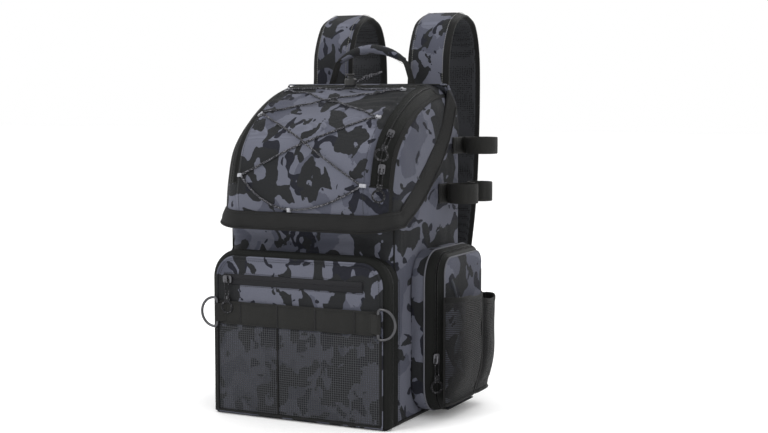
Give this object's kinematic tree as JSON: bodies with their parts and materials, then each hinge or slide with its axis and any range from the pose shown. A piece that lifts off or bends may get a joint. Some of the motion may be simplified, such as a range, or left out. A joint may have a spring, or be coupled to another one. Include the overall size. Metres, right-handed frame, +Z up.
{
  "type": "tackle backpack",
  "caption": "Soft camouflage tackle backpack with a drop-down tray door, clamshell lid, side pockets with mesh rod tubes, rod straps, grab handle and shoulder straps.",
  "frame": {"origin": "centre of the base between the door face and the back panel, on the ground", "axes": "+Z up, -Y towards the tray door at the front, +X to the right seen from the front"},
  "size_m": [0.434, 0.4205, 0.614],
  "materials": {
    "camo_canvas": "matt coated canvas, printed camouflage",
    "black_canvas": "matt woven canvas",
    "black_mesh": "open knitted mesh",
    "black_webbing": "ribbed nylon webbing",
    "elastic_cord": "braided elastic with reflective flecks",
    "coated_zip": "satin coated zip tape",
    "stiff_sheet": "matt sheet",
    "black_plastic": "moulded",
    "gunmetal": "semi-gloss",
    "spring_steel": "bright",
    "zip_metal": "gunmetal enamel",
    "cord_pull": "moulded cord end"
  },
  "bodies": {
    "bag": {"base_panel": "black_canvas", "base_board": "stiff_sheet", "back_panel": "black_mesh", "back_frame_sheet": "stiff_sheet", "top_yoke_panel": "camo_canvas", "side_panel_left": "camo_canvas", "side_panel_right": "camo_canvas", "front_strip_panel": "camo_canvas", "divider_floor": "black_canvas", "door_zip_track": "black_canvas", "pocket_shell_left": "camo_canvas", "pocket_shell_right": "camo_canvas", "back_pads": "black_mesh", "strap_anchors": "black_webbing", "lower_webbing": "black_webbing", "shoulder_yoke_left": "camo_canvas", "shoulder_yoke_right": "camo_canvas"},
    "door": {"door_panel": "camo_canvas", "door_rim": "black_canvas", "door_mesh_pocket": "black_mesh", "molle_webbing": "black_webbing", "door_pocket_zip": "coated_zip"},
    "d_ring_left": {"d_ring_left": "gunmetal"},
    "d_ring_right": {"d_ring_right": "gunmetal"},
    "front_zip_slider": {"front_zip_slider": "zip_metal"},
    "front_zip_pull": {"front_zip_pull": "cord_pull"},
    "lid": {"lid_outer_panels": "camo_canvas", "lid_shell_panel": "camo_canvas", "lid_zip_flap": "black_canvas", "lid_pocket_zip": "black_canvas"},
    "lid_pocket": {"lid_pocket_panel": "camo_canvas", "bungee_cord": "elastic_cord", "bungee_loops": "black_webbing", "cord_lock_body": "black_plastic", "cord_lock_spring": "spring_steel"},
    "cord_lock_button": {"cord_lock_button": "black_plastic"},
    "lid_zip_slider_upper": {"lid_zip_slider_upper": "zip_metal"},
    "lid_zip_pull_upper": {"lid_zip_pull_upper": "cord_pull"},
    "lid_zip_slider_lower": {"lid_zip_slider_lower": "zip_metal"},
    "lid_zip_pull_lower": {"lid_zip_pull_lower": "cord_pull"},
    "pocket_left": {"pocket_panel_left": "camo_canvas", "rod_mesh_left": "black_mesh"},
    "pocket_right": {"pocket_panel_right": "camo_canvas", "rod_mesh_right": "black_mesh"},
    "side_zip_slider_left": {"side_zip_slider_left": "zip_metal"},
    "side_zip_pull_left": {"side_zip_pull_left": "cord_pull"},
    "side_zip_slider_right": {"side_zip_slider_right": "zip_metal"},
    "side_zip_pull_right": {"side_zip_pull_right": "cord_pull"},
    "door_zip_slider": {"door_zip_slider": "cord_pull"},
    "main_zip_slider": {"main_zip_slider": "cord_pull"},
    "rod_strap_lower_left": {"rod_strap_lower_left": "black_webbing"},
    "rod_strap_lower_right": {"rod_strap_lower_right": "black_webbing"},
    "rod_strap_upper_left": {"rod_strap_upper_left": "black_webbing"},
    "rod_strap_upper_right": {"rod_strap_upper_right": "black_webbing"},
    "handle": {"handle_grip": "camo_canvas", "handle_webbing": "black_webbing"},
    "shoulder_left": {"shoulder_pad_left": "camo_canvas", "ladder_lock_left": "black_plastic"},
    "shoulder_right": {"shoulder_pad_right": "camo_canvas", "ladder_lock_right": "black_plastic"}
  },
  "joints": [
    {"name": "door_hinge", "type": "hinge", "parent": "bag", "child": "door", "pos_m": [0, -0.135, 0.003], "axis": [1, 0, 0], "range_deg": [0, 85]},
    {"name": "d_ring_left_hinge", "type": "hinge", "parent": "door", "child": "d_ring_left", "pos_m": [-0.135, -0.1416, 0.1555], "axis": [0, 0, 1], "range_deg": [0, 120]},
    {"name": "d_ring_right_hinge", "type": "hinge", "parent": "door", "child": "d_ring_right", "pos_m": [0.135, -0.1416, 0.1555], "axis": [0, 0, -1], "range_deg": [0, 120]},
    {"name": "front_zip_slide", "type": "slide", "parent": "door", "child": "front_zip_slider", "axis": [1, 0, 0], "range_m": [0, 0.21]},
    {"name": "front_zip_pull_hinge", "type": "hinge", "parent": "front_zip_slider", "child": "front_zip_pull", "pos_m": [-0.118, -0.1411, 0.206], "axis": [-1, 0, 0], "range_deg": [0, 110]},
    {"name": "door_zip_slide", "type": "slide", "parent": "bag", "child": "door_zip_slider", "axis": [0, 0, 1], "range_m": [-0.04, 0.085]},
    {"name": "lid_hinge", "type": "hinge", "parent": "bag", "child": "lid", "pos_m": [0, 0.088, 0.498], "axis": [-1, 0, 0], "range_deg": [0, 80]},
    {"name": "main_zip_slide", "type": "slide", "parent": "bag", "child": "main_zip_slider", "axis": [0, 0.7471, 0.6648], "range_m": [-0.05, 0.05]},
    {"name": "lid_pocket_hinge", "type": "hinge", "parent": "lid", "child": "lid_pocket", "pos_m": [0, -0.1275, 0.304], "axis": [1, 0, 0], "range_deg": [0, 60]},
    {"name": "cord_lock_press", "type": "slide", "parent": "lid_pocket", "child": "cord_lock_button", "axis": [0, 0, -1], "range_m": [0, 0.003], "stiffness_N_per_m": 300, "springref_m": -0.002, "deforming": ["cord_lock_spring"]},
    {"name": "lid_zip_upper_slide", "type": "slide", "parent": "lid", "child": "lid_zip_slider_upper", "axis": [0, 0.7179, 0.6962], "range_m": [0, 0.025]},
    {"name": "lid_zip_upper_pull_hinge", "type": "hinge", "parent": "lid_zip_slider_upper", "child": "lid_zip_pull_upper", "pos_m": [0.12637, -0.08178, 0.42613], "axis": [-0.848, -0.3689, 0.3804], "range_deg": [0, 110]},
    {"name": "lid_zip_lower_slide", "type": "slide", "parent": "lid", "child": "lid_zip_slider_lower", "axis": [0, -0.2783, -0.9605], "range_m": [0, 0.03]},
    {"name": "lid_zip_lower_pull_hinge", "type": "hinge", "parent": "lid_zip_slider_lower", "child": "lid_zip_pull_lower", "pos_m": [0.12637, -0.11223, 0.37528], "axis": [-0.848, -0.509, 0.1475], "range_deg": [0, 110]},
    {"name": "handle_hinge", "type": "hinge", "parent": "bag", "child": "handle", "pos_m": [0, 0.11, 0.486], "axis": [-1, 0, 0], "range_deg": [-25, 5]},
    {"name": "side_pocket_left_hinge", "type": "hinge", "parent": "bag", "child": "pocket_left", "pos_m": [-0.19, 0.04, 0.0105], "axis": [0, -1, 0], "range_deg": [0, 50]},
    {"name": "side_zip_left_slide", "type": "slide", "parent": "pocket_left", "child": "side_zip_slider_left", "axis": [0, 0, 1], "range_m": [-0.02, 0.1]},
    {"name": "side_zip_left_pull_hinge", "type": "hinge", "parent": "side_zip_slider_left", "child": "side_zip_pull_left", "pos_m": [-0.1809, -0.0379, 0.092], "axis": [-0.7071, 0.7071, 0], "range_deg": [0, 110]},
    {"name": "rod_strap_lower_left_hinge", "type": "hinge", "parent": "bag", "child": "rod_strap_lower_left", "pos_m": [-0.1447, 0.0505, 0.33], "axis": [0, 0, 1], "range_deg": [0, 80]},
    {"name": "rod_strap_upper_left_hinge", "type": "hinge", "parent": "bag", "child": "rod_strap_upper_left", "pos_m": [-0.1447, 0.1045, 0.402], "axis": [0, 0, 1], "range_deg": [0, 80]},
    {"name": "shoulder_left_hinge", "type": "hinge", "parent": "bag", "child": "shoulder_left", "pos_m": [-0.086, 0.207, 0.614], "axis": [1, 0, 0], "range_deg": [-4, 30]},
    {"name": "side_pocket_right_hinge", "type": "hinge", "parent": "bag", "child": "pocket_right", "pos_m": [0.19, 0.04, 0.0105], "axis": [0, 1, 0], "range_deg": [0, 50]},
    {"name": "side_zip_right_slide", "type": "slide", "parent": "pocket_right", "child": "side_zip_slider_right", "axis": [0, 0, 1], "range_m": [-0.02, 0.1]},
    {"name": "side_zip_right_pull_hinge", "type": "hinge", "parent": "side_zip_slider_right", "child": "side_zip_pull_right", "pos_m": [0.1809, -0.0379, 0.092], "axis": [-0.7071, -0.7071, 0], "range_deg": [0, 110]},
    {"name": "rod_strap_lower_right_hinge", "type": "hinge", "parent": "bag", "child": "rod_strap_lower_right", "pos_m": [0.1447, 0.0505, 0.33], "axis": [0, 0, -1], "range_deg": [0, 80]},
    {"name": "rod_strap_upper_right_hinge", "type": "hinge", "parent": "bag", "child": "rod_strap_upper_right", "pos_m": [0.1447, 0.1045, 0.402], "axis": [0, 0, -1], "range_deg": [0, 80]},
    {"name": "shoulder_right_hinge", "type": "hinge", "parent": "bag", "child": "shoulder_right", "pos_m": [0.086, 0.207, 0.614], "axis": [1, 0, 0], "range_deg": [-4, 30]}
  ]
}
